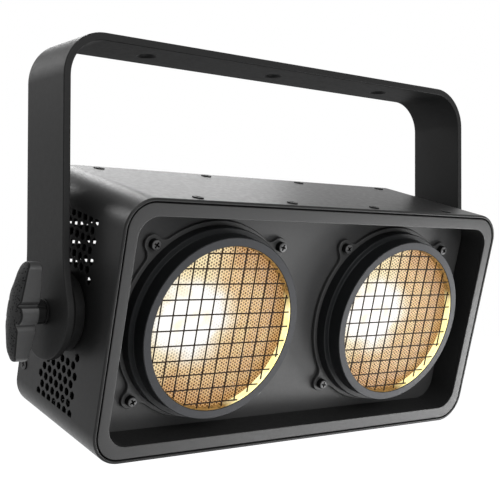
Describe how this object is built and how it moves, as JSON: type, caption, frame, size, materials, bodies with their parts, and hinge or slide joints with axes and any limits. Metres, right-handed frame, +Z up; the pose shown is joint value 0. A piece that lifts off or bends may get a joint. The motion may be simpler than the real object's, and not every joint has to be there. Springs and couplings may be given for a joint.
{
  "type": "audience blinder light",
  "caption": "Two-lamp stage blinder: a tilting rounded metal housing with caged round lamps, hung in a flat-bar yoke with wing knobs.",
  "frame": {"origin": "middle of the top face of the yoke's crossbar, where the hanging clamp bolts on", "axes": "+Z up, +X to the right seen from the front along the tilt axis, +Y to the back, away from the audience"},
  "size_m": [0.497, 0.1747, 0.32],
  "materials": {
    "black_paint": "powder-coated satin black sheet",
    "ring_paint": "satin blue-black paint on cast rings",
    "grid_wire": "dark painted wire",
    "lens_plastic": "translucent warm white lens with fine prisms",
    "reflector_metal": "polished",
    "light_source": "yellow phosphor on a white board",
    "bare_aluminium": "mill finish",
    "zinc_steel": "zinc plated",
    "dark_steel": "blackened",
    "fibre": "dark friction fibre",
    "knob_plastic": "black moulding, stippled outside",
    "black_plastic": "black moulding",
    "circuit_board": "green solder mask",
    "display_glass": "dark window"
  },
  "bodies": {
    "yoke": {"yoke_bracket": "black_paint", "left_friction_washer": "fibre", "right_friction_washer": "fibre"},
    "housing": {"left_pivot_boss": "black_paint", "right_pivot_boss": "black_paint", "housing_shell": "black_paint", "front_bezel": "black_paint", "recess_frame": "black_paint", "lamp_panel": "black_paint", "rear_panel": "black_paint", "left_lamp_ring": "ring_paint", "right_lamp_ring": "ring_paint", "left_wire_grid": "grid_wire", "right_wire_grid": "grid_wire", "left_lens": "lens_plastic", "right_lens": "lens_plastic", "left_reflector": "reflector_metal", "right_reflector": "reflector_metal", "left_led_module": "light_source", "right_led_module": "light_source", "left_heat_sink": "bare_aluminium", "right_heat_sink": "bare_aluminium", "driver_box": "bare_aluminium", "left_pivot_nut": "zinc_steel", "right_pivot_nut": "zinc_steel", "safety_eye": "dark_steel", "data_in_socket": "dark_steel", "data_out_socket": "dark_steel", "left_ring_screw_top_left": "dark_steel", "left_ring_screw_top_right": "dark_steel", "left_ring_screw_bottom_left": "dark_steel", "left_ring_screw_bottom_right": "dark_steel", "right_ring_screw_top_left": "dark_steel", "right_ring_screw_top_right": "dark_steel", "right_ring_screw_bottom_left": "dark_steel", "right_ring_screw_bottom_right": "dark_steel", "fan_frame": "black_plastic", "mains_inlet": "black_plastic", "mains_outlet": "black_plastic", "fuse_holder": "black_plastic", "control_board": "circuit_board", "display_module": "display_glass"},
    "right_clamp": {"right_knob_washer": "dark_steel"},
    "right_knob_turning": {"right_knob": "knob_plastic", "right_knob_stud": "zinc_steel"},
    "left_clamp": {"left_knob_washer": "dark_steel"},
    "left_knob_turning": {"left_knob": "knob_plastic", "left_knob_stud": "zinc_steel"},
    "fan": {"fan_rotor": "black_plastic"},
    "fuse": {"fuse_cap": "black_plastic"},
    "latch": {"data_out_latch": "zinc_steel"},
    "menu_key": {"menu_button": "black_plastic"},
    "down_key": {"down_button": "black_plastic"},
    "up_key": {"up_button": "black_plastic"},
    "enter_key": {"enter_button": "black_plastic"}
  },
  "joints": [
    {"name": "housing_tilt", "type": "hinge", "parent": "yoke", "child": "housing", "pos_m": [0, 0, -0.2075], "axis": [1, 0, 0], "continuous": true},
    {"name": "right_clamp_travel", "type": "slide", "parent": "housing", "child": "right_clamp", "axis": [1, 0, 0], "range_m": [0, 0.00301]},
    {"name": "right_knob_turn", "type": "hinge", "parent": "right_clamp", "child": "right_knob_turning", "pos_m": [0.2236, 0, -0.2075], "axis": [1, 0, 0], "range_deg": [0, 720]},
    {"name": "left_clamp_travel", "type": "slide", "parent": "housing", "child": "left_clamp", "axis": [-1, 0, 0], "range_m": [0, 0.00301]},
    {"name": "left_knob_turn", "type": "hinge", "parent": "left_clamp", "child": "left_knob_turning", "pos_m": [-0.2236, 0, -0.2075], "axis": [-1, 0, 0], "range_deg": [0, 720]},
    {"name": "menu_press", "type": "slide", "parent": "housing", "child": "menu_key", "axis": [0, -0.9659, -0.2588], "range_m": [0, 0.001], "stiffness_N_per_m": 400, "springref_m": -0.001},
    {"name": "down_press", "type": "slide", "parent": "housing", "child": "down_key", "axis": [0, -0.9659, -0.2588], "range_m": [0, 0.001], "stiffness_N_per_m": 400, "springref_m": -0.001},
    {"name": "up_press", "type": "slide", "parent": "housing", "child": "up_key", "axis": [0, -0.9659, -0.2588], "range_m": [0, 0.001], "stiffness_N_per_m": 400, "springref_m": -0.001},
    {"name": "enter_press", "type": "slide", "parent": "housing", "child": "enter_key", "axis": [0, -0.9659, -0.2588], "range_m": [0, 0.001], "stiffness_N_per_m": 400, "springref_m": -0.001},
    {"name": "latch_press", "type": "slide", "parent": "housing", "child": "latch", "axis": [0, -0.9659, -0.2588], "range_m": [0, 0.0015], "stiffness_N_per_m": 500, "springref_m": -0.001},
    {"name": "fuse_cap_turn", "type": "hinge", "parent": "housing", "child": "fuse", "pos_m": [0.044, 0.08109, -0.25513], "axis": [0, 0.9659, 0.2588], "range_deg": [0, 90]},
    {"name": "fan_spin", "type": "hinge", "parent": "housing", "child": "fan", "pos_m": [0, 0.0499, -0.18895], "axis": [0, 0.9659, 0.2588], "continuous": true}
  ],
  "couplings": [
    {"joint": "right_clamp_travel", "follows": "right_knob_turn", "m_per_rad": 0.00023873},
    {"joint": "left_clamp_travel", "follows": "left_knob_turn", "m_per_rad": 0.00023873}
  ]
}
